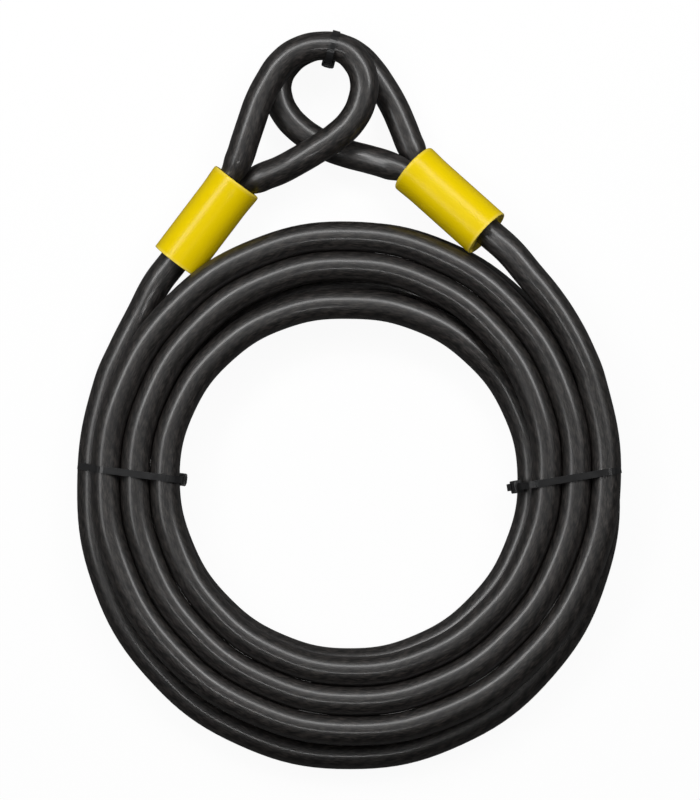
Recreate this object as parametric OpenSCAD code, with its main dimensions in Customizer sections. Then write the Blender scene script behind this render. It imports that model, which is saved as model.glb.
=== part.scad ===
// Looped security cable, coiled flat in two layers and held by three cable ties.
// A steel rope in a vinyl cover ends in two eyes, each closed by a crimped ferrule under a sleeve.
// The cable lies on its ties and sleeves: +Z is up and Z = 0 is the surface it lies on.
// The coil is at -Y and the eyes are at +Y. The origin is under the middle of the whole outline.

/* [Cable] */
// Diameter over the vinyl cover
cable_d = 15; // [14.4:0.1:15.2]
// Diameter of the steel rope
rope_d = 10; // [9.4:0.1:10.4]
// Clearance round the rope in its cover
rope_clear = 0.1; // [0.05:0.05:0.3]
// Wall that is left of the covers where a sleeve's mouth squeezes them
squeezed_wall = 1.4; // [1:0.1:1.6]

/* [Coil] */
// Radius of the outermost turn
coil_r_out = 137; // [130:1:150]
// Whole turns in each layer, beside the three quarters that reach the climb
whole_turns = 2; // [1:1:3]
// Clearance between neighbouring turns, sideways and between layers
turn_gap = 0.5; // [0.45:0.05:0.8]
// How far the lower layer's outermost turn sags out in its last half turn
lower_sag = 13.9; // [8:0.1:14]
// How far the lower layer's first turn slips in under the upper layer
lower_slip = 10; // [8:0.5:11]
// How far the innermost turn is drawn in where it starts to climb down
inner_pull = 4.5; // [2:0.5:5]
// How far the tie at the right pulls the turns in; the left one pulls less
side_pull = 3; // [2:0.5:4]

/* [Sleeves] */
// Length of a sleeve
sleeve_len = 53; // [50:1:55]
// Wall of a sleeve
sleeve_wall = 1.6; // [1.2:0.1:1.8]
// Clearance between a sleeve and its ferrule
sleeve_clear = 0.1; // [0.05:0.05:0.2]
// How far a sleeve's mouth at the eye end is stretched beyond its radius
mouth_flare = 0.4; // [0:0.1:0.6]
// Rounding of the mouth's rim
sleeve_rim_r = 1.2; // [0.6:0.1:1.3]
// Thickness of the end wall that the cable enters
end_wall = 2.4; // [1.6:0.2:3]
// Depth of the end wall below the sleeve's rim
end_recess = 1.4; // [0.6:0.2:2]
// Distance of the cable from the sleeve's axis at the end wall
lead_offset = 1.6; // [1:0.1:2]

/* [Ferrules] */
// Length of a ferrule
ferrule_len = 32; // [26:1:34]
// Wall of a ferrule outside its bores
ferrule_wall = 1.6; // [1.2:0.1:1.8]
// Web between a ferrule's two bores
ferrule_web = 0.4; // [0.3:0.1:0.6]
// Number of crimped bands
crimps = 3; // [2:1:4]
// Width of a crimped band
crimp_w = 5; // [3:0.5:6]
// Depth of a crimped band
crimp_depth = 0.7; // [0.3:0.1:0.9]

/* [Cable ties] */
// Width of a strap
strap_w = 3.6; // [3:0.1:4.2]
// Thickness of a strap
strap_t = 1.2; // [1:0.1:1.4]
// Clearance between a strap and what it wraps or passes
strap_clear = 0.15; // [0.1:0.05:0.25]
// How far the right tie's head stands off the turns, because that tie is slack
right_slack = 4; // [0:0.5:5]
// Wall of a head beside its slot
head_side = 1.35; // [1:0.05:1.8]
// Wall of a head above and below its slot
head_wall = 1.2; // [1:0.1:1.6]
// Rounding of a head's outer corners, seen from above
head_corner = 1; // [0.6:0.1:1.2]
// How deep a head sits in the hollow between two strands
head_dip = 1.6; // [0.8:0.2:1.6]
// Length of a pawl
pawl_len = 2.4; // [2.2:0.1:3]
// Length of the cut tail beyond a head
tail_len = 0.2; // [0.2:0.2:4]
// Distance between the teeth
tooth_pitch = 1; // [0.8:0.1:1.2]
// Depth of the teeth
tooth_depth = 0.3; // [0.2:0.05:0.35]

/* [Hidden] */

cover_bore_d = rope_d + 2 * rope_clear;
cover_end_d = cover_bore_d + 2 * squeezed_wall;
pitch = cable_d + turn_gap;
low_z = strap_t + strap_clear + cable_d / 2;   // axis height of the lower layer, which lies on the straps
high_z = low_z + pitch;                        // axis height of the upper layer
coil_axis = [0.5, -41, 0];
straight = cable_d;                            // straight stretch where the coil, the leads and the sleeves meet
coil_rings = 24;                               // rings in a turn
coil_sides = 6;
tube_sides = 8;
cover_color = [0.13, 0.13, 0.135];
rope_color = [0.62, 0.63, 0.65];
ferrule_color = [0.74, 0.75, 0.77];
sleeve_color = [0.92, 0.79, 0.05];
tie_color = [0.08, 0.08, 0.085];

// ---------- points and tubes ----------

function unit(v) = v / norm(v);
function turn_z(v, a) = [v.x * cos(a) - v.y * sin(a), v.x * sin(a) + v.y * cos(a), v.z];
function tilt_y(v, a) = [v.x * cos(a) - v.z * sin(a), v.y, v.x * sin(a) + v.z * cos(a)];
function roll_x(v, a) = [v.x, v.y * cos(a) - v.z * sin(a), v.y * sin(a) + v.z * cos(a)];

// direction of a path at its point i
function heading(path, i) =
    let (n = len(path) - 1,
         before = i == 0 ? [0, 0, 0] : unit(path[i] - path[i - 1]),
         after = i == n ? [0, 0, 0] : unit(path[i + 1] - path[i]))
    unit(before + after);

// one ring of a tube: shape is a list of [across, up] points
function ring(path, i, shape, grow) =
    let (t = heading(path, i), side = unit(cross(t, [0, 0, 1])), up = cross(side, t))
    [for (q = shape) path[i] + side * q.x * grow + up * q.y * grow];

// a round outline of some sides, with a corner straight up and one straight down
function outline(d, sides) = [for (k = [0:sides - 1]) let (a = 90 + 360 * k / sides) d / 2 * [cos(a), sin(a)]];

function flat_sum(lists) = [for (l = lists) for (x = l) x];

// a solid tube through the path's points
module rod(path, shape) {
    n = len(path);
    m = len(shape);
    points = flat_sum([for (i = [0:n - 1]) ring(path, i, shape, 1)]);
    sides = [for (i = [0:n - 2]) for (k = [0:m - 1])
                let (a = i * m + k, b = i * m + (k + 1) % m) each [[a, b, a + m], [b, b + m, a + m]]];
    start = [for (k = [1:m - 2]) [0, k + 1, k]];
    end = [for (k = [1:m - 2]) let (e = (n - 1) * m) [e, e + k, e + k + 1]];
    polyhedron(points, concat(sides, start, end));
}

// a hollow tube: the outer outline may taper, the bore keeps its size
module hose(path, outer, inner, grow = []) {
    n = len(path);
    m = len(outer);
    out = flat_sum([for (i = [0:n - 1]) ring(path, i, outer, grow == [] ? 1 : grow[i])]);
    bore = flat_sum([for (i = [0:n - 1]) ring(path, i, inner, 1)]);
    h = n * m;
    sides = [for (i = [0:n - 2]) for (k = [0:m - 1])
                let (a = i * m + k, b = i * m + (k + 1) % m)
                each [[a, b, a + m], [b, b + m, a + m], [h + a, h + a + m, h + b], [h + b, h + a + m, h + b + m]]];
    ends = [for (e = [0, (n - 1) * m]) for (k = [0:m - 1])
               let (a = e + k, b = e + (k + 1) % m)
               each (e == 0 ? [[a, h + a, b], [b, h + a, h + b]] : [[a, b, h + a], [b, h + b, h + a]])];
    polyhedron(concat(out, bore), concat(sides, ends));
}

// ---------- coil ----------

layer_turns = whole_turns + 0.75;              // turns in each layer, from 3 o'clock in and out again to 9 o'clock
coil_turns = 2 * layer_turns;
coil_r_in = coil_r_out - pitch * layer_turns;

// 0 to 1 along x, with level ends
function ease(x) = let (s = min(1, max(0, x))) s * s * (3 - 2 * s);

// the lower layer's first turn slips in slowly, and is back at its place a fifth of a turn later
function slip(u) = u < 1 ? pow(ease(u), 1.5) : 1 - ease((u - 1) / 0.2);

// the last half turn sags out
function sag(t) = sin(180 * min(1, max(0, (t - coil_turns + 0.61) / 0.63)));

// the left tie pulls less than the right one, and both pull less on the lower layer's first turns
function side_share(t) =
    (0.5 + 0.5 * min(1, max(0, t < layer_turns ? 1 : 1.5 * (t / layer_turns - 1))))
        * (cos(360 * t) > 0 ? 1 : t > layer_turns + 1 ? 0.9 : 0.44);

// radius after t turns: in over the upper layer, then out over the lower one
function coil_r(t) =
    let (u = t - layer_turns)
    coil_r_in + pitch * abs(u) + lower_sag * sag(t) - lower_slip * slip(max(0, u))
        - inner_pull * ease(1 - abs(u - 0.02) / 0.25) - side_pull * side_share(t) * pow(cos(360 * t), 2);

// height after t turns: the climb down starts just before 12 o'clock and ends just before 3 o'clock
function coil_z(t) = high_z - pitch * ease((t - layer_turns + 0.02) / 0.25);

// clockwise from 3 o'clock, seen from above
function coil_point(t) =
    coil_axis + [coil_r(t) * cos(360 * t), -coil_r(t) * sin(360 * t), coil_z(t)];

// the rings stand half a step off the quarters, so that a tie crosses every strand on a straight stretch
coil_arc = [for (i = [0:coil_rings * coil_turns + 1]) coil_point((i - 0.5) / coil_rings)];
coil_last = len(coil_arc) - 1;
half_step = 180 / coil_rings;
start_way = [-sin(half_step), cos(half_step), 0];
end_way = [sin(half_step), cos(half_step), 0];
coil_start = coil_arc[0] + straight * start_way;
coil_end = coil_arc[coil_last] + straight * end_way;
coil_path = concat([coil_start], coil_arc, [coil_end]);

// least gap between one part of the coil and another, on its ring centres half a turn or more apart
coil_gap = min([for (i = [0:coil_last - coil_rings / 2])
                   min([for (j = [i + coil_rings / 2:coil_last]) norm(coil_arc[i] - coil_arc[j])])]) - cable_d;
echo(coil_gap = coil_gap);

// ---------- sleeves' places ----------

bore_offset = (cover_bore_d + ferrule_web) / 2;    // of a ferrule's bores from its axis
ferrule_r = cover_bore_d / 2 + ferrule_wall;
sleeve_bore_d = 2 * (bore_offset + ferrule_r + sleeve_clear);
sleeve_d = sleeve_bore_d + 2 * sleeve_wall;
mouth_offset = cover_end_d / 2 + 0.05;             // of the eye's covers from the sleeve's axis
mouth_room = 4;                                    // between the ferrule and the sleeve's mouth
ferrule_x = sleeve_len - mouth_room - ferrule_len;
wall_x = end_recess + end_wall;
floor_gap = 0.2;
right_tilt = 11;
left_tilt = 3;

// The places and routes are laid out round a coil of 137 mm. With a larger one the leads go out with it,
// and the sleeves and eyes go towards +Y.
coil_grow = coil_r_out - 137;
eyes_shift = [0, 1.3 * coil_grow, 0];
function with_coil(p) = let (v = p - coil_axis) p + coil_grow / norm([v.x, v.y]) * [v.x, v.y, 0];

// a place is [point at the lead end, turn about Z, rise of the eye end, roll of the two ropes]
right_place = [eyes_shift + [71.9, 85.5, floor_gap + mouth_flare + sleeve_d / 2 + sleeve_len * sin(right_tilt)], 137.7, -right_tilt, 225];
left_place = [eyes_shift + [-90.7, 71, floor_gap + sleeve_d / 2], 52.7, left_tilt, 45];

// a point of a sleeve: x along the axis from the lead end, y towards the live rope
function placed(p, v) = p[0] + turn_z(tilt_y(roll_x(v, p[3]), p[2]), p[1]);

module at(p) {
    translate(p[0]) rotate([0, -p[2], p[1]]) rotate([p[3], 0, 0]) children();
}

// ---------- routes of the free stretches, chosen by hand ----------

right_lead_route = [for (p = [[93.8, 64.3, 27], [103.9, 52, 27], [112.9, 38.6, 26.3], [120.5, 24, 25.5], [126.5, 8.5, 24.8]])
                        with_coil(p)];
left_lead_route = [for (p = [[-126.5, 7.2, 9.2], [-118.6, 25.5, 10.2], [-109.1, 43.9, 11.6]]) with_coil(p)];
right_eye_route = [for (p = [
    [32.3, 132.2, low_z], [28.2, 142.4, low_z], [23.7, 152.6, low_z], [17.7, 163, low_z], [11, 172.5, low_z],
    [4, 179.4, low_z], [-3.5, 183.2, low_z], [-13.5, 184.8, low_z], [-23.5, 182.3, low_z], [-32.5, 175.4, low_z],
    [-37.3, 166.2, low_z], [-36.7, 156.2, low_z], [-32.6, 147.9, low_z], [-26.6, 141.4, low_z], [-19.1, 135.9, low_z],
    [-10.5, 131.4, low_z], [-0.5, 127.9, 9.4], [10.5, 124.9, 11.8], [20, 121.9, 15]]) p + eyes_shift];
left_eye_route = [for (p = [
    [-57.3, 125, 22.5], [-54.1, 134.5, 23.8], [-50.9, 144, high_z], [-47.4, 154, high_z], [-42.1, 164.5, high_z],
    [-35.3, 174.4, high_z], [-26, 181, high_z], [-13.5, 183.6, high_z], [-3.5, 182, high_z], [3.5, 176, high_z],
    [7.7, 166.6, high_z], [6.8, 155, high_z], [1.4, 144.2, high_z], [-6.8, 136.2, high_z], [-16.5, 129.7, 24.2],
    [-26.5, 123.9, 22], [-36.3, 118.9, 18.3], [-45.8, 115.3, 14.6]]) p + eyes_shift];

// a lead ends inside its sleeve's end wall, and an eye's cover ends at the sleeve's rim
right_lead_path = concat([for (x = [wall_x + 0.6, 0, -straight]) placed(right_place, [x, lead_offset, 0])],
                         right_lead_route, [coil_start + 2 * start_way, coil_start]);
left_lead_path = concat([coil_end, coil_end + 2 * end_way], left_lead_route,
                        [for (x = [-straight, 0, wall_x + 0.6]) placed(left_place, [x, lead_offset, 0])]);

module cover(path, tapered = false) {
    n = len(path);
    squeeze = [for (i = [0:n - 1]) tapered && (i < 2 || i > n - 3) ? cover_end_d / cable_d : 1];
    color(cover_color)
        hose(path, outline(cable_d, tube_sides), outline(cover_bore_d, tube_sides), squeeze);
}

module rope(path) {
    color(rope_color) rod(path, outline(rope_d, tube_sides));
}

module coil_cover() {
    color(cover_color) hose(coil_path, outline(cable_d, coil_sides), outline(cover_bore_d, coil_sides));
}

module coil_rope() {
    color(rope_color) rod(coil_path, outline(rope_d, coil_sides));
}

module right_lead_cover() { cover(right_lead_path); }
module left_lead_cover() { cover(left_lead_path); }

// the live rope goes on from the end wall to the ferrule, where it meets the eye's rope
function to_ferrule(p) = [for (v = [[ferrule_x, bore_offset], [ferrule_x - 1, bore_offset], [wall_x + 1.2, lead_offset]])
                             placed(p, [v.x, v.y, 0])];
function backwards(path) = [for (i = [len(path) - 1:-1:0]) path[i]];

module right_lead_rope() { rope(concat(to_ferrule(right_place), right_lead_path)); }
module left_lead_rope() { rope(concat(left_lead_path, backwards(to_ferrule(left_place)))); }

// out of the mouth on the live side, round the eye and back on the dead side
function leg(p, side) = [for (x = [0.05, 2]) placed(p, [sleeve_len + x, side * mouth_offset, 0])];
function eye_path(p, route) = concat(leg(p, 1), route, backwards(leg(p, -1)));

module right_eye_cover() { cover(eye_path(right_place, right_eye_route), true); }
module left_eye_cover() { cover(eye_path(left_place, left_eye_route), true); }

// the eye's rope lies in both bores; its dead end is cut off flush with the ferrule
function in_ferrule(p, side) =
    [for (v = [[ferrule_x, bore_offset], [ferrule_x + ferrule_len + 0.6, bore_offset], [sleeve_len - 0.8, mouth_offset]])
        placed(p, [v.x, side * v.y, 0])];

module eye_rope(p, route) {
    rope(concat(in_ferrule(p, 1), eye_path(p, route), backwards(in_ferrule(p, -1))));
}

module right_eye_rope() { eye_rope(right_place, right_eye_route); }
module left_eye_rope() { eye_rope(left_place, left_eye_route); }

// ---------- ferrules and sleeves ----------

module oval(r, len) {
    for (s = [-1, 1]) translate([0, s * bore_offset, 0]) rotate([0, 90, 0]) cylinder(r = r, h = len, $fn = 48);
    translate([0, -bore_offset, -r]) cube([len, 2 * bore_offset, 2 * r]);
}

module ferrule() {
    step = ferrule_len / crimps;
    color(ferrule_color) translate([ferrule_x, 0, 0]) difference() {
        oval(ferrule_r, ferrule_len);
        for (i = [0:crimps - 1]) translate([(i + 0.5) * step - crimp_w / 2, 0, 0]) difference() {
            oval(ferrule_r + 1, crimp_w);
            translate([-1, 0, 0]) oval(ferrule_r - crimp_depth, crimp_w + 2);
        }
        for (s = [-1, 1]) translate([-1, s * bore_offset, 0]) rotate([0, 90, 0])
            cylinder(d = cover_bore_d, h = ferrule_len + 2, $fn = 48);
    }
}

module sleeve() {
    r = sleeve_d / 2;
    r_mouth = r + mouth_flare;
    bore = sleeve_bore_d / 2;
    color(sleeve_color) difference() {
        rotate([90, 0, 90]) rotate_extrude($fn = 64) difference() {
            union() {
                polygon([[0, 0], [r, 0], [r, sleeve_len - 9], [r_mouth, sleeve_len - 3],
                         [r_mouth, sleeve_len - sleeve_rim_r], [r_mouth - sleeve_rim_r, sleeve_len], [0, sleeve_len]]);
                translate([r_mouth - sleeve_rim_r, sleeve_len - sleeve_rim_r]) circle(sleeve_rim_r, $fn = 32);
            }
            translate([0, wall_x]) square([bore, sleeve_len]);
            polygon([[0, -1], [bore + 0.8, -1], [bore + 0.8, 0], [bore, end_recess], [0, end_recess]]);
        }
        translate([-1, lead_offset, 0]) rotate([0, 90, 0])
            cylinder(d = cable_d + 2 * strap_clear, h = wall_x + 2, $fn = 48);
    }
}

module right_ferrule() { at(right_place) ferrule(); }
module left_ferrule() { at(left_place) ferrule(); }
module right_sleeve() { at(right_place) sleeve(); }
module left_sleeve() { at(left_place) sleeve(); }

// ---------- cable ties ----------

// A tie is drawn flat, [across, up], in its own upright plane. Its place is [point on the floor, turn about Z].
// The strap wraps the strands at some centres, and its head sits on the side from centres[0] to centres[1].

strap_in = cable_d / 2 + strap_clear;
strap_out = strap_in + strap_t;
slot_w = strap_w + 2 * strap_clear;
bend_r = 0.6;                                  // inside bend of the strap as it turns into the head
pawl_t = 1;                                    // thickness of a pawl at its hinge
pawl_gap = 0.1;
pawl_lift = 1.05;                              // height of the hinge over the slot
pawl_back = 1.9;                               // distance of the hinge from the head's inner face
pawl_w = strap_w - 0.6;
chamber_h = pawl_lift + pawl_t / 2 + pawl_gap;
head_len = 2 * head_wall + strap_t + 2 * strap_clear + chamber_h;
head_h = pawl_back + pawl_len + 0.6;
head_w = slot_w + 2 * head_side;
head_in = strap_in - head_dip;                 // inner face of a head
head_end = head_in + head_h;
slot_y = -head_len / 2 + head_wall + strap_clear;    // under face of the strap in the slot
slot_top = slot_y + strap_t + strap_clear;
bend_at = [strap_out + bend_r, slot_y - bend_r];
pawl_at = [head_in + pawl_back, slot_top + pawl_lift];
mid_r = (coil_r_out + coil_r_in) / 2 + pitch / 8 - 2 * side_pull / 3;    // middle of the bundle, from the coil's axis

// how a tie lies across the coil: [lean of its outer end towards +Y, offset of its middle towards +Y]
left_lie = [7.5, 1.7];
right_lie = [9.5, -0.9];

// where the strands of some turns cross the tie's plane
function strands(turns, lie) =
    [for (t = turns)
        let (a = coil_point(t - 0.5 / coil_rings) - coil_axis, b = coil_point(t + 0.5 / coil_rings) - coil_axis,
             slope = (abs(b.x) - abs(a.x)) / (b.y - a.y), r = abs(a.x) + slope * (lie[1] - a.y))
        [mid_r + (r - mid_r) * (1 + slope * tan(lie[0])) / cos(lie[0]), (a.z + b.z) / 2]];

function coil_tie_place(side, lie) =
    let (a = side == 0 ? lie[0] : side - lie[0])
    [coil_axis + [0, lie[1], 0] + mid_r * [cos(side) - cos(a), sin(side) - sin(a), 0], a];

left_tie_place = coil_tie_place(180, left_lie);
right_tie_place = coil_tie_place(0, right_lie);
left_bundle = strands([layer_turns - 0.25, layer_turns + 0.75, coil_turns, 0.5], left_lie);
right_bundle = concat([for (c = strands([layer_turns - 0.75, layer_turns + 0.25], right_lie)) c - [right_slack, 0]],
                      strands([coil_turns - 0.5, 0], right_lie));

// the top tie stands where the two eyes cross
low_eye_at = (right_eye_route[6] + right_eye_route[7]) / 2;
high_eye_at = (left_eye_route[7] + left_eye_route[8]) / 2;
top_turn = 75;
top_tie_place = [[low_eye_at.x, low_eye_at.y, 0], top_turn];
eye_shift = high_eye_at - low_eye_at;
top_bundle = [[eye_shift.x * cos(top_turn) + eye_shift.y * sin(top_turn), high_z], [0, low_z]];

module in_plane(p, w) {
    translate(p[0]) rotate([90, 0, p[1]]) linear_extrude(w, center = true) children();
}

// the head's own axes: x away from the bundle, y along the side from a to b
module on_side(a, b) {
    translate((a + b) / 2) rotate(atan2(b.y - a.y, b.x - a.x) - 90) children();
}

module wrap(centres, r) {
    hull() for (c = centres) translate(c) circle(r, $fn = 32);
}

module teeth(n) {
    for (k = [0:n - 1]) translate([k * tooth_pitch, 0])
        polygon([[0, 0.01], [tooth_pitch * 0.8, 0.01], [tooth_pitch * 0.1, -tooth_depth]]);
}

// the strap's free end: up the side, round the bend, through the slot, and cut off
module free_end(reach) {
    rise = bend_at.y + reach;
    run = head_end + tail_len - bend_at.x;
    difference() {
        union() {
            translate([strap_in, -reach - 0.5]) square([strap_t, rise + 0.5]);
            intersection() {
                translate(bend_at) difference() {
                    circle(bend_r + strap_t, $fn = 48);
                    circle(bend_r, $fn = 48);
                }
                translate([strap_in - 1, bend_at.y]) square([bend_at.x - strap_in + 1, 4]);
            }
            translate([bend_at.x, slot_y]) square([run, strap_t]);
        }
        translate([bend_at.x, slot_y + strap_t]) teeth(floor(run / tooth_pitch));
        translate([strap_in, -reach]) rotate(90) teeth(floor(rise / tooth_pitch));
    }
}

// the way through the head for the strap, with the pawl's chamber over it
module slot() {
    translate([strap_in - strap_clear, -head_len]) square([strap_t + 2 * strap_clear, head_len + bend_at.y]);
    intersection() {
        translate(bend_at) difference() {
            circle(bend_r + strap_t + strap_clear, $fn = 48);
            circle(bend_r - strap_clear, $fn = 48);
        }
        translate([strap_in - 1, bend_at.y]) square([bend_at.x - strap_in + 1, 4]);
    }
    translate([bend_at.x, slot_y - strap_clear]) square([head_h, strap_t + 2 * strap_clear]);
    translate([pawl_at.x - pawl_t / 2 - pawl_gap, slot_top - 0.1]) square([head_h, chamber_h + 0.1]);
}

module rounded(size, r) {
    translate([r, 0]) square([size.x - 2 * r, size.y]);
    translate([0, r]) square([size.x, size.y - 2 * r]);
    for (x = [r, size.x - r]) for (y = [r, size.y - r]) translate([x, y]) circle(r, $fn = 32);
}

// a head's block: rounded in the tie's plane, and at the outer corners seen from above
module head(p, a, b) {
    intersection() {
        in_plane(p, head_w) on_side(a, b) translate([head_in, -head_len / 2]) rounded([head_h, head_len], 0.8);
        translate(p[0]) rotate([90, 0, p[1]]) on_side(a, b) rotate([-90, 0, 0])
            linear_extrude(head_len + 2, center = true)
                translate([head_in - head_h, -head_w / 2]) rounded([2 * head_h, head_w], head_corner);
    }
}

module tie(p, centres) {
    a = centres[0];
    b = centres[1];
    reach = norm(b - a) / 2;
    color(tie_color) {
        difference() {
            union() {
                in_plane(p, strap_w) difference() {
                    wrap(centres, strap_out);
                    wrap(centres, strap_in);
                    on_side(a, b) translate([strap_in - 1, -reach]) square([strap_t + 2, reach]);
                }
                head(p, a, b);
            }
            in_plane(p, slot_w) on_side(a, b) slot();
        }
        in_plane(p, strap_w) on_side(a, b) free_end(reach);
    }
}

module pawl(p, centres) {
    color(tie_color) in_plane(p, pawl_w) on_side(centres[0], centres[1]) translate(pawl_at)
        polygon(concat([for (a = [110:15:290]) pawl_t / 2 * [cos(a), sin(a)]],
                       [[pawl_len - 0.6, -1.1], [pawl_len, -1.1], [pawl_len, -0.2]]));
}

// pawl hinge's point and axis, in the part's frame
function pawl_hinge(p, centres) =
    let (c = centres, m = (c[0] + c[1]) / 2, d = unit(c[1] - c[0]), q = m + pawl_at.x * [d.y, -d.x] + pawl_at.y * d)
    [p[0] + [q.x * cos(p[1]), q.x * sin(p[1]), q.y], [sin(p[1]), -cos(p[1]), 0]];
echo(left_hinge = pawl_hinge(left_tie_place, left_bundle));
echo(right_hinge = pawl_hinge(right_tie_place, right_bundle));
echo(top_hinge = pawl_hinge(top_tie_place, top_bundle));

module left_tie() { tie(left_tie_place, left_bundle); }
module left_tie_pawl() { pawl(left_tie_place, left_bundle); }
module right_tie() { tie(right_tie_place, right_bundle); }
module right_tie_pawl() { pawl(right_tie_place, right_bundle); }
module top_tie() { tie(top_tie_place, top_bundle); }
module top_tie_pawl() { pawl(top_tie_place, top_bundle); }

coil_cover();
coil_rope();
right_lead_cover();
right_lead_rope();
left_lead_cover();
left_lead_rope();
right_eye_cover();
right_eye_rope();
left_eye_cover();
left_eye_rope();
right_ferrule();
left_ferrule();
right_sleeve();
left_sleeve();
left_tie();
left_tie_pawl();
right_tie();
right_tie_pawl();
top_tie();
top_tie_pawl();
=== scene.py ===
"""A looped security cable: a vinyl-covered steel rope, coiled in two layers and held by ties."""

from math import cos, pi, radians, sin

import bmesh
import bpy
from mathutils import Matrix, Vector


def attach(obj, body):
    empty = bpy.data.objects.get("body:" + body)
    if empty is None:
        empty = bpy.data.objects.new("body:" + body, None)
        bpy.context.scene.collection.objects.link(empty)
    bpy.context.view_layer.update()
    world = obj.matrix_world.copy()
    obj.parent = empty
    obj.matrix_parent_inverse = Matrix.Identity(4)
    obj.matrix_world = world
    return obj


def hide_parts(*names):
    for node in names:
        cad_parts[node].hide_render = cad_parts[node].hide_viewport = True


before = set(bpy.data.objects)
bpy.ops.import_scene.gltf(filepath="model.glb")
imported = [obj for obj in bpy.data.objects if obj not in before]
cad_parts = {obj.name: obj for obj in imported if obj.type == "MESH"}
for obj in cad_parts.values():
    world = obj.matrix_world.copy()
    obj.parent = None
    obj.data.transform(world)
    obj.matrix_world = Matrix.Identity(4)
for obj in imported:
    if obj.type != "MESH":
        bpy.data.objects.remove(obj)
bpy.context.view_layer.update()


# ---------------------------------------------------------------------------
# The table top and the camera
# A white table, seen from straight above through a long lens. It keeps only a
# trace of the cable's shadow, and looks dark in the cable's gloss. Five soft
# boxes stand in an arc round its far side, and a thin strip lamp in front.
# ---------------------------------------------------------------------------

VIEW_WIDTH = 0.36575
VIEW_CENTRE = (0.0005, -0.0013)
CAMERA_HEIGHT = 2.6
CABLE_TOP = 0.022
SENSOR = 36.0
FAR_CLIP = 20.0
TABLE_HALF = 3.0
TABLE_SHADOW = 0.06
SKY_STRENGTH = 0.02
BOX_CIRCLE_R = 1.0
BOX_HEIGHT = 1.15
BOX_SIZE = (0.7, 0.4)
# hour on a clock face round the cable, watts
BOXES = ((9.0, 3.2), (10.2, 6.8), (11.4, 5.6), (12.7, 5.4), (1.9, 7.0))
STRIP_PLACE = (-0.15, -0.42, 1.4)
STRIP_SIZE = (0.5, 0.09)
STRIP_POWER = 1.7


class Socket:
    """A shader socket that can stand in a sum."""

    def __init__(self, finish, socket):
        self.finish = finish
        self.socket = socket

    def __add__(self, other):
        return self.finish.math("ADD", self, other)

    def __mul__(self, other):
        return self.finish.math("MULTIPLY", self, other)

    def __radd__(self, other):
        return self.finish.math("ADD", other, self)

    def __pow__(self, other):
        return self.finish.math("POWER", self, other)


class Finish:
    """A material whose nodes are added one call at a time."""

    def __init__(self, name, **surface):
        self.material = bpy.data.materials.new(name)
        self.material.use_nodes = True
        self.tree = self.material.node_tree
        self.shader = self.tree.nodes["Principled BSDF"]
        self.out = self.tree.nodes["Material Output"]
        for socket, value in surface.items():
            self.shader.inputs[socket.replace("_", " ").title()].default_value = value

    def plug(self, socket, value):
        if isinstance(value, Socket):
            self.tree.links.new(value.socket, socket)
        else:
            socket.default_value = value

    def node(self, kind, settings=(), inputs=(), output=0):
        made = self.tree.nodes.new(kind)
        for key, value in dict(settings).items():
            if key == "stops":
                ramp = made.color_ramp
                while len(ramp.elements) < len(value):
                    ramp.elements.new(1.0)
                for element, (place, colour) in zip(ramp.elements, value):
                    element.position = place
                    element.color = colour
            else:
                setattr(made, key, value)
        for key, value in dict(inputs).items():
            self.plug(made.inputs[key], value)
        return Socket(self, made.outputs[output])

    def math(self, operation, *values):
        return self.node("ShaderNodeMath", {"operation": operation}, dict(enumerate(values)))

    def blend(self, amount, a, b):
        return self.node(
            "ShaderNodeMix",
            {"data_type": "RGBA", "clamp_factor": True},
            {0: amount, 6: a, 7: b},
            output=2,
        )

    def ramp(self, value, *stops):
        greys = [(place, (level, level, level, 1.0)) for place, level in stops]
        return self.node("ShaderNodeValToRGB", {"stops": greys}, {0: value})

    def noise(self, vector, scale, detail=2.0, roughness=0.5):
        return self.node(
            "ShaderNodeTexNoise",
            {},
            {"Vector": vector, "Scale": scale, "Detail": detail, "Roughness": roughness},
        )

    def bump(self, height, distance, strength=1.0):
        self.plug(
            self.shader.inputs["Normal"],
            self.node(
                "ShaderNodeBump",
                {},
                {"Height": height, "Distance": distance, "Strength": strength},
            ),
        )

    def feed(self, socket, value):
        self.plug(self.shader.inputs[socket], value)


def table_finish():
    finish = Finish("table_white", roughness=0.9)
    rays = finish.tree.nodes.new("ShaderNodeLightPath")
    seen = Socket(finish, rays.outputs["Is Camera Ray"])
    finish.feed("Base Color", finish.blend(seen, (0.08, 0.08, 0.08, 1.0), (0.9, 0.9, 0.9, 1.0)))
    paper = finish.node(
        "ShaderNodeEmission", {}, {"Color": (1.0, 1.0, 1.0, 1.0), "Strength": 1.0}
    )
    share = seen * (1.0 - TABLE_SHADOW)
    mixed = finish.node(
        "ShaderNodeMixShader",
        {},
        {0: share, 1: Socket(finish, finish.shader.outputs[0]), 2: paper},
    )
    finish.plug(finish.out.inputs["Surface"], mixed)
    return finish.material


table_mesh = bpy.data.meshes.new("table")
table = bpy.data.objects.new("table", table_mesh)
bpy.context.collection.objects.link(table)
grid = bmesh.new()
bmesh.ops.create_grid(grid, x_segments=1, y_segments=1, size=TABLE_HALF)
grid.to_mesh(table_mesh)
grid.free()
table_mesh.materials.append(table_finish())

lens = bpy.data.cameras.new("camera")
lens.sensor_width = SENSOR
lens.sensor_fit = "HORIZONTAL"
lens.lens = SENSOR * (CAMERA_HEIGHT - CABLE_TOP) / VIEW_WIDTH
lens.clip_end = FAR_CLIP
camera = bpy.data.objects.new("camera", lens)
camera.location = (VIEW_CENTRE[0], VIEW_CENTRE[1], CAMERA_HEIGHT)
bpy.context.collection.objects.link(camera)
bpy.context.scene.camera = camera

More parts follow.
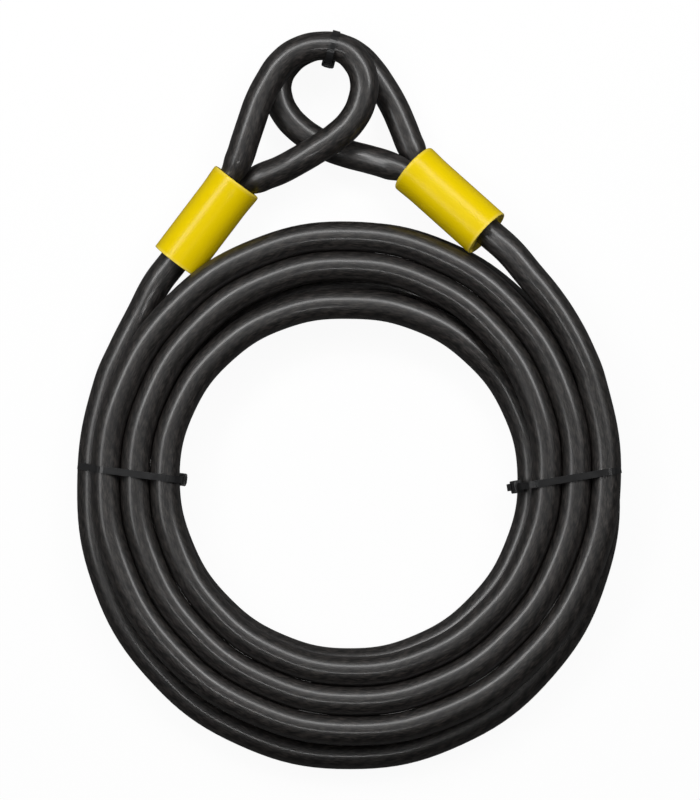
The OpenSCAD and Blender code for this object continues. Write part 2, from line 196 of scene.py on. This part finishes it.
world = bpy.data.worlds.new("studio")
world.use_nodes = True
sky = world.node_tree.nodes["Background"]
sky.inputs["Color"].default_value = (1.0, 1.0, 1.0, 1.0)
sky.inputs["Strength"].default_value = SKY_STRENGTH
bpy.context.scene.world = world
bpy.context.scene.view_settings.view_transform = "Standard"


def lamp(name, place, size, power):
    """A rectangular lamp that points at the table's middle."""
    light = bpy.data.lights.new(name, "AREA")
    light.shape = "RECTANGLE"
    light.size, light.size_y = size
    light.energy = power
    held = bpy.data.objects.new(name, light)
    held.location = place
    held.rotation_euler = (-Vector(place)).to_track_quat("-Z", "Y").to_euler()
    bpy.context.collection.objects.link(held)


for hour, power in BOXES:
    azimuth = radians(90 - 30 * hour)
    place = (BOX_CIRCLE_R * cos(azimuth), BOX_CIRCLE_R * sin(azimuth), BOX_HEIGHT)
    lamp("box_%d" % hour, place, BOX_SIZE, power)
lamp("strip", STRIP_PLACE, STRIP_SIZE, STRIP_POWER)


# ---------------------------------------------------------------------------
# The cable's vinyl cover
# Smoky black vinyl, extruded over a 10 mm wire rope, whose strands are only a
# pattern in its material here, with painted shade in the valleys between them.
# One length, 15.52 mm across, runs from sleeve to sleeve through two layers of
# turns. One more, 15 mm across, is on each eye.
# ---------------------------------------------------------------------------

# Sizes are in millimetres; what happens along the coil is told in turns.
MM = 0.001
CABLE_D = 15.0
COIL_COVER_D = 15.52
COVER_BORE_D = 10.2
PITCH = 15.5
LOW = 8.85
HIGH = LOW + PITCH
COIL_AXIS = Vector((0.5, -41.0, 0.0))
COIL_R_OUT = 136.8
LAYER_TURNS = 2.75
COIL_R_IN = COIL_R_OUT - PITCH * LAYER_TURNS
STEP_DOWN_TURNS = 0.25
STEP_DOWN_LEAD = 0.02
LOWER_SAG = 13.9
LOWER_SAG_LEAD = 0.61
LOWER_SAG_TURNS = 0.63
LOWER_SLIP = 10.0
LOWER_SLIP_CURVE = 1.5
LOWER_SLIP_BACK = 0.2
INNER_PULL = 4.5
SIDE_PULL = 3.0
LEFT_SHARE = 0.44
LEFT_SHARE_LAST = 0.9
POINTS_A_TURN = 16
SLEEVE_LEN = 53.0
SLEEVE_R = 13.7
WALL_X = 3.8
LEAD_OFFSET = 1.6
LEAD_DEPTH = WALL_X + 0.6
LEAD_STRAIGHT = 15
MOUTH_POINT = (SLEEVE_LEN - 1.5, 6.05, 0.0)
MOUTH_SWELL = 0.79
MOUTH_STRAIGHT = 4.5
ROPE_STRANDS = 6
ROPE_LAY_M = 0.068
TUBE_SIDES = 24
TUBE_QUARTER_STEPS = 10
CURVE_STEPS = 10


def sleeve_place(x, y, z, turn, rise, roll):
    return (
        Matrix.Translation((x, y, z))
        @ Matrix.Rotation(radians(turn), 4, "Z")
        @ Matrix.Rotation(radians(-rise), 4, "Y")
        @ Matrix.Rotation(radians(roll), 4, "X")
    )


RIGHT_TILT = 11
RIGHT_SLEEVE_Z = 0.6 + SLEEVE_R + SLEEVE_LEN * sin(radians(RIGHT_TILT))
RIGHT_SLEEVE = sleeve_place(71.9, 85.5, RIGHT_SLEEVE_Z, 137.7, -RIGHT_TILT, 225)
LEFT_SLEEVE = sleeve_place(-90.7, 71.0, 0.2 + SLEEVE_R, 52.7, 3, 45)

RIGHT_LEAD = [
    (93.8, 64.3, 27), (103.9, 52, 27), (112.9, 38.6, 26.3), (120.5, 24, 25.5), (126.5, 8.5, 24.8),
]
LEFT_LEAD = [(-126.5, 7.2, 9.2), (-118.6, 25.5, 10.2), (-109.1, 43.9, 11.6)]
RIGHT_EYE = [
    (32.3, 132.2, LOW), (28.2, 142.4, LOW), (23.7, 152.6, LOW), (17.7, 163, LOW),
    (11, 172.5, LOW), (4, 179.4, LOW), (-3.5, 183.2, LOW), (-13.5, 184.8, LOW),
    (-23.5, 182.3, LOW), (-32.5, 175.4, LOW), (-37.3, 166.2, LOW), (-36.7, 156.2, LOW),
    (-32.6, 147.9, LOW), (-26.6, 141.4, LOW), (-19.1, 135.9, LOW), (-10.5, 131.4, LOW),
    (-0.5, 127.9, 9.4), (10.5, 124.9, 11.8), (20, 121.9, 15),
]
LEFT_EYE = [
    (-57.3, 125, 22.5), (-54.1, 134.5, 23.8), (-50.9, 144, HIGH), (-47.4, 154, HIGH),
    (-42.1, 164.5, HIGH), (-35.3, 174.4, HIGH), (-26, 181, HIGH), (-13.5, 183.6, HIGH),
    (-3.5, 182, HIGH), (3.5, 176, HIGH), (7.7, 166.6, HIGH), (6.8, 155, HIGH),
    (1.4, 144.2, HIGH), (-6.8, 136.2, HIGH), (-16.5, 129.7, 24.2), (-26.5, 123.9, 22),
    (-36.3, 118.9, 18.3), (-45.8, 115.3, 14.6),
]


def ease(x):
    """0 to 1 along x, with level ends."""
    x = min(1.0, max(0.0, x))
    return x * x * (3 - 2 * x)


def lower_slip(past):
    """The lower layer's first turn slips in slowly and then comes back to its place."""
    if past < 1:
        return LOWER_SLIP * ease(past) ** LOWER_SLIP_CURVE
    return LOWER_SLIP * (1 - ease((past - 1) / LOWER_SLIP_BACK))


def side_pull(turns):
    """The two side ties pull the turns in, the right one more than the left one."""
    across = cos(2 * pi * turns)
    if turns < LAYER_TURNS:
        share = 1.0
    else:
        share = 0.5 + 0.5 * min(1.0, 1.5 * (turns / LAYER_TURNS - 1))
    if across < 0:
        share *= LEFT_SHARE_LAST if turns > LAYER_TURNS + 1 else LEFT_SHARE
    return SIDE_PULL * share * across ** 2


def coil_point(turns):
    """Clockwise from three o'clock: in over the upper layer, out over the lower one."""
    past = turns - LAYER_TURNS
    last = min(1.0, max(0.0, (past - LAYER_TURNS + LOWER_SAG_LEAD) / LOWER_SAG_TURNS))
    inner = ease(1 - abs(past - STEP_DOWN_LEAD) / STEP_DOWN_TURNS)
    radius = COIL_R_IN + PITCH * abs(past) + LOWER_SAG * sin(pi * last)
    radius -= lower_slip(max(0.0, past)) + INNER_PULL * inner + side_pull(turns)
    angle = 2 * pi * turns
    height = HIGH - PITCH * ease((past + STEP_DOWN_LEAD) / STEP_DOWN_TURNS)
    return COIL_AXIS + Vector((radius * cos(angle), -radius * sin(angle), height))


def cable_route():
    count = round(2 * LAYER_TURNS * POINTS_A_TURN)
    coil = [coil_point(k / POINTS_A_TURN) for k in range(count + 1)]
    right = [RIGHT_SLEEVE @ Vector((x, LEAD_OFFSET, 0)) for x in (LEAD_DEPTH, 0, -LEAD_STRAIGHT)]
    left = [LEFT_SLEEVE @ Vector((x, LEAD_OFFSET, 0)) for x in (-LEAD_STRAIGHT, 0, LEAD_DEPTH)]
    return right + [Vector(p) for p in RIGHT_LEAD] + coil + [Vector(p) for p in LEFT_LEAD] + left


def eye_route(sleeve, loop):
    """Out of the sleeve's mouth, round the eye and back in on the mouth's other side."""
    x, y, z = MOUTH_POINT
    ends = [sleeve @ Vector((x, y, z)), sleeve @ Vector((x, -y, z))]
    return ends[:1] + [Vector(p) for p in loop] + ends[1:]


def line_curve(name, route, squeezed_in=None):
    """One smooth line through the route's points. Both ends may be squeezed into a mouth."""
    curve = bpy.data.curves.new(name, "CURVE")
    curve.dimensions = "3D"
    curve.twist_mode = "Z_UP"
    curve.resolution_u = curve.render_resolution_u = CURVE_STEPS
    spline = curve.splines.new("BEZIER")
    spline.radius_interpolation = "EASE"
    spline.bezier_points.add(len(route) - 1)
    for knot, point in zip(spline.bezier_points, route):
        knot.co = point * MM
        knot.handle_left_type = knot.handle_right_type = "AUTO"
    if squeezed_in is not None:
        straight = squeezed_in.to_3x3() @ Vector((MOUTH_STRAIGHT, 0, 0)) * MM
        for knot in (spline.bezier_points[0], spline.bezier_points[-1]):
            knot.handle_left_type = knot.handle_right_type = "FREE"
            knot.radius = MOUTH_SWELL
            knot.handle_left = knot.handle_right = knot.co + straight
    return curve


def swept(name, curve):
    """The curve's tube, open at its ends, with its centreline. UVs: metres along, turns round."""
    drawn = bpy.data.objects.new(name + "_line", curve)
    bpy.context.collection.objects.link(drawn)
    bpy.context.view_layer.update()
    mesh = bpy.data.meshes.new_from_object(
        drawn.evaluated_get(bpy.context.evaluated_depsgraph_get())
    )
    mesh.name = name
    bpy.data.objects.remove(drawn)
    rings = len(mesh.vertices) // TUBE_SIDES
    centres = []
    for r in range(rings):
        ring = mesh.vertices[r * TUBE_SIDES:(r + 1) * TUBE_SIDES]
        centres.append(sum((v.co for v in ring), Vector()) / TUBE_SIDES)
    along = [0.0]
    for a, b in zip(centres, centres[1:]):
        along.append(along[-1] + (b - a).length)
    for corner in mesh.uv_layers[0].data:
        corner.uv.x = along[round(corner.uv.x * (rings - 1))]
    mesh.materials.clear()
    piece = bpy.data.objects.new(name, mesh)
    bpy.context.collection.objects.link(piece)
    return piece, centres, along[-1]


def cover_piece(name, route, diameter, squeezed_in=None):
    """A tube of vinyl round the rope's bore, with its centreline and length."""
    curve = line_curve(name, route, squeezed_in)
    curve.bevel_depth = diameter / 2 * MM
    curve.bevel_resolution = TUBE_QUARTER_STEPS
    piece, centres, length = swept(name, curve)
    wall = piece.modifiers.new("wall", "SOLIDIFY")
    wall.thickness = (diameter - COVER_BORE_D) / 2 * MM
    wall.offset = -1.0
    piece.data.materials.append(vinyl)
    return piece, centres, length


def vinyl_finish():
    """Smoky vinyl: the rope's strands and wires show as faint greys under a gloss, with painted
    shade in the valleys between the strands.
    """
    finish = Finish("smoky_vinyl", coat_weight=0.38, coat_roughness=0.15)
    uv = finish.node("ShaderNodeUVMap", {"uv_map": "UVMap"})
    parts = finish.tree.nodes.new("ShaderNodeSeparateXYZ")
    finish.plug(parts.inputs[0], uv)
    along = Socket(finish, parts.outputs[0])
    turns = Socket(finish, parts.outputs[1])
    angle = turns * (2 * pi)
    east = finish.math("COSINE", angle)
    north = finish.math("SINE", angle)

    def wrapped(round_scale, along_scale):
        """A place on the cover, stretched so that the noise meets itself all round."""
        inputs = {0: east * round_scale, 1: north * round_scale, 2: along * along_scale}
        return finish.node("ShaderNodeCombineXYZ", {}, inputs)

    wires = finish.noise(wrapped(13.0, 300.0), 1.0, 3.0, 0.6)
    patches = finish.noise(wrapped(1.3, 28.0), 1.0, 2.0, 0.5)
    winding = (turns + along * (1 / ROPE_LAY_M)) * (ROPE_STRANDS * pi)
    # Stripes along the rope's lay, with painted shade: each strand darkens into the valleys
    # between strands, as light would fall on round strands.
    strands_and_valley_shade = finish.math("ABSOLUTE", finish.math("SINE", winding))
    streaks = finish.ramp(wires, (0.40, 0.0), (0.64, 1.0))
    # The steel greys: strand stripes with their painted valley shade, times the wire streaks and
    # the patches.
    steel = strands_and_valley_shade ** 0.4 * streaks * finish.ramp(patches, (0.3, 0.65), (0.7, 1.0))
    black, grey = (0.0010, 0.0009, 0.0009, 1.0), (0.044, 0.0375, 0.034, 1.0)
    finish.feed("Base Color", finish.blend(steel, black, grey))
    finish.feed("Roughness", 0.34 + patches * 0.06 + wires * 0.18)
    finish.feed("Specular IOR Level", 0.65)
    finish.bump(patches * 0.65 + wires * 0.18, 0.00022, 0.5)
    return finish.material


vinyl = vinyl_finish()

cable_cover, cable_line, cable_length = cover_piece(
    "cable_cover", cable_route(), COIL_COVER_D
)
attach(cable_cover, "cable")
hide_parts("coil_cover", "right_lead_cover", "left_lead_cover")

for side, sleeve, loop in (("right", RIGHT_SLEEVE, RIGHT_EYE), ("left", LEFT_SLEEVE, LEFT_EYE)):
    eye_cover, eye_line, eye_length = cover_piece(
        side + "_eye_vinyl", eye_route(sleeve, loop), CABLE_D, sleeve
    )
    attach(eye_cover, "cable")
    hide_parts(side + "_eye_cover")


# ---------------------------------------------------------------------------
# The sleeves
# Bright yellow vinyl sleeves, moulded with an end wall that the cable enters
# off centre, and pushed over the ferrules. The mouth at the eye is stretched a
# little by the two covers side by side.
# ---------------------------------------------------------------------------

SLEEVE_BORE_R = 12.1
END_RECESS = 1.4
MOUTH_R = SLEEVE_R + 0.4
LEAD_HOLE_R = 7.65
SLEEVE_STEPS = 96
NEAR = 1e-3
SLEEVE_PROFILE = [
    # place along the axis, radius, rounding, steps of the rounding
    (END_RECESS, SLEEVE_BORE_R, 0.0, 0),
    (0.0, SLEEVE_BORE_R + 0.7, 0.25, 2),
    (0.0, SLEEVE_R, 0.45, 3),
    (20.0, SLEEVE_R, 0.0, 0),
    (SLEEVE_LEN - 10.0, SLEEVE_R, 3.0, 4),
    (SLEEVE_LEN - 3.0, MOUTH_R, 1.5, 4),
    (SLEEVE_LEN, MOUTH_R, 1.1, 5),
    (SLEEVE_LEN, SLEEVE_BORE_R, 0.35, 2),
    (WALL_X, SLEEVE_BORE_R, 0.0, 0),
]


def sleeve_shell():
    """Spun about its axis, with the end wall drawn in to the cable's hole and out behind it."""
    shell = bmesh.new()
    chain = [shell.verts.new((x, 0.0, r)) for x, r, rounding, steps in SLEEVE_PROFILE]
    for pair in zip(chain, chain[1:]):
        shell.edges.new(pair)
    for corner, (x, r, rounding, steps) in zip(chain, SLEEVE_PROFILE):
        if rounding:
            bmesh.ops.bevel(
                shell, geom=[corner], offset=rounding, offset_type="OFFSET", segments=steps,
                profile=0.5, affect="VERTICES", material=-1,
            )
    bmesh.ops.spin(
        shell, geom=shell.verts[:] + shell.edges[:], cent=(0, 0, 0), axis=(1, 0, 0), angle=2 * pi,
        steps=SLEEVE_STEPS, use_merge=True,
    )
    bmesh.ops.remove_doubles(shell, verts=shell.verts, dist=1e-4)

    def ring_at(x, r):
        return [
            e for e in shell.edges
            if all(abs(v.co.x - x) < NEAR and abs(v.co.yz.length - r) < NEAR for v in e.verts)
        ]

    narrowed = LEAD_HOLE_R / SLEEVE_BORE_R
    to_hole = (
        Matrix.Translation((0, LEAD_OFFSET, 0)) @ Matrix.Diagonal((1, narrowed, narrowed, 1))
    )
    through_wall = Matrix.Translation((WALL_X - END_RECESS, 0, 0))
    ring = ring_at(END_RECESS, SLEEVE_BORE_R)
    for step in (to_hole, through_wall, to_hole.inverted()):
        drawn = bmesh.ops.extrude_edge_only(shell, edges=ring)["geom"]
        corners = {part for part in drawn if isinstance(part, bmesh.types.BMVert)}
        bmesh.ops.transform(shell, matrix=step, verts=list(corners))
        ring = [
            part for part in drawn
            if isinstance(part, bmesh.types.BMEdge) and corners.issuperset(part.verts)
        ]
    bmesh.ops.remove_doubles(shell, verts=shell.verts, dist=NEAR)
    bmesh.ops.recalc_face_normals(shell, faces=shell.faces)
    for face in shell.faces:
        face.smooth = True
    return shell


def yellow_finish():
    """Bright yellow soft vinyl, paler and creamier towards both ends, with a soft gloss."""
    finish = Finish("yellow_vinyl")
    finish.feed("Specular IOR Level", 0.22)
    spot = finish.tree.nodes.new("ShaderNodeTexCoord")
    place = Socket(finish, spot.outputs["Object"])
    cloud = finish.noise(place, 60.0, 2.0)
    grain = finish.noise(place, 2500.0, 2.0)
    uv = finish.node("ShaderNodeUVMap", {"uv_map": "length"})
    parts = finish.tree.nodes.new("ShaderNodeSeparateXYZ")
    finish.plug(parts.inputs[0], uv)
    along = Socket(finish, parts.outputs[0])
    # A paler, creamier yellow blended in towards both ends of the sleeve.
    rims = finish.ramp(along, (0.0, 1.0), (0.035, 0.0), (0.955, 0.0), (0.99, 0.6))
    base = finish.blend(cloud, (0.76, 0.55, 0.0004, 1.0), (0.82, 0.60, 0.0008, 1.0))
    finish.feed("Base Color", finish.blend(rims * 0.35, base, (0.90, 0.76, 0.24, 1.0)))
    finish.feed("Roughness", 0.22 + cloud * 0.08)
    finish.bump(grain * 0.5 + cloud, 0.0001, 0.35)
    return finish.material


yellow = yellow_finish()

for side, sleeve in (("right", RIGHT_SLEEVE), ("left", LEFT_SLEEVE)):
    shell = sleeve_shell()
    length = shell.loops.layers.uv.new("length")
    for face in shell.faces:
        for corner in face.loops:
            corner[length].uv = (corner.vert.co.x / SLEEVE_LEN, 0.5)
    bmesh.ops.transform(shell, matrix=Matrix.Scale(MM, 4) @ sleeve, verts=shell.verts)
    mesh = bpy.data.meshes.new(side + "_yellow_sleeve")
    shell.to_mesh(mesh)
    shell.free()
    mesh.materials.append(yellow)
    piece = bpy.data.objects.new(side + "_yellow_sleeve", mesh)
    bpy.context.collection.objects.link(piece)
    crisp = piece.modifiers.new("crisp", "WEIGHTED_NORMAL")
    crisp.keep_sharp = True
    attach(piece, "cable")
    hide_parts(side + "_sleeve")


# ---------------------------------------------------------------------------
# The wire rope and the ferrules
# Steel wire rope, 10 mm thick, modelled as a plain rod without strands. Oval
# aluminium ferrules, crimped on it in three bands, close the eyes. Both show
# only in the sleeves' mouths.
# ---------------------------------------------------------------------------


def steel_finish():
    finish = Finish("rope_steel", metallic=1.0)
    spot = finish.tree.nodes.new("ShaderNodeTexCoord")
    place = Socket(finish, spot.outputs["Object"])
    grease = finish.noise(place, 300.0, 3.0)
    oily, dry = (0.24, 0.24, 0.25, 1.0), (0.52, 0.52, 0.54, 1.0)
    finish.feed("Base Color", finish.blend(grease, oily, dry))
    finish.feed("Roughness", 0.32 + grease * 0.25)
    return finish.material


def aluminium_finish():
    finish = Finish("pressed_aluminium", metallic=1.0)
    spot = finish.tree.nodes.new("ShaderNodeTexCoord")
    place = Socket(finish, spot.outputs["Object"])
    scuffs = finish.noise(place, 220.0, 4.0, 0.6)
    dull, bright = (0.50, 0.51, 0.53, 1.0), (0.72, 0.73, 0.75, 1.0)
    finish.feed("Base Color", finish.blend(scuffs, dull, bright))
    finish.feed("Roughness", 0.3 + scuffs * 0.25)
    finish.bump(scuffs, 0.0001, 0.4)
    return finish.material


steel = steel_finish()
aluminium = aluminium_finish()
for node in ("coil_rope", "right_lead_rope", "left_lead_rope", "right_eye_rope", "left_eye_rope"):
    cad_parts[node].data.materials[0] = steel
for node in ("right_ferrule", "left_ferrule"):
    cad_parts[node].data.materials[0] = aluminium


# ---------------------------------------------------------------------------
# The cable ties
# Small black nylon ties, 3.6 mm wide. The strap, its teeth and the head are
# one moulding; the pawl in the head lets the strap in and not out again.
# ---------------------------------------------------------------------------

WELD_DISTANCE = 2e-6
FLAT_ANGLE = 0.6
EDGE_WIDTH = 0.00022
EDGE_ANGLE = 40


def nylon_finish():
    finish = Finish("black_nylon")
    spot = finish.tree.nodes.new("ShaderNodeTexCoord")
    place = Socket(finish, spot.outputs["Object"])
    cloud = finish.noise(place, 180.0, 2.0)
    grain = finish.noise(place, 3000.0, 2.0)
    black, grey = (0.009, 0.009, 0.0095, 1.0), (0.018, 0.018, 0.0185, 1.0)
    finish.feed("Base Color", finish.blend(cloud, black, grey))
    finish.feed("Roughness", 0.24 + cloud * 0.12)
    finish.bump(grain, 0.00005, 0.4)
    return finish.material


nylon = nylon_finish()
for side in ("left", "right", "top"):
    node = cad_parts[side + "_tie"]
    moulding = bmesh.new()
    moulding.from_mesh(node.data)
    moulding.transform(node.matrix_world)
    bmesh.ops.remove_doubles(moulding, verts=moulding.verts, dist=WELD_DISTANCE)
    bmesh.ops.dissolve_limit(
        moulding, angle_limit=radians(FLAT_ANGLE), verts=moulding.verts, edges=moulding.edges
    )
    mesh = bpy.data.meshes.new(side + "_tie_nylon")
    moulding.to_mesh(mesh)
    moulding.free()
    mesh.materials.clear()
    mesh.materials.append(nylon)
    piece = bpy.data.objects.new(side + "_tie_nylon", mesh)
    bpy.context.collection.objects.link(piece)
    edges = piece.modifiers.new("edges", "BEVEL")
    edges.width = EDGE_WIDTH
    edges.segments = 2
    edges.limit_method = "ANGLE"
    edges.angle_limit = radians(EDGE_ANGLE)
    edges.use_clamp_overlap = True
    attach(piece, "cable")
    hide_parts(side + "_tie")
    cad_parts[side + "_tie_pawl"].data.materials[0] = nylon
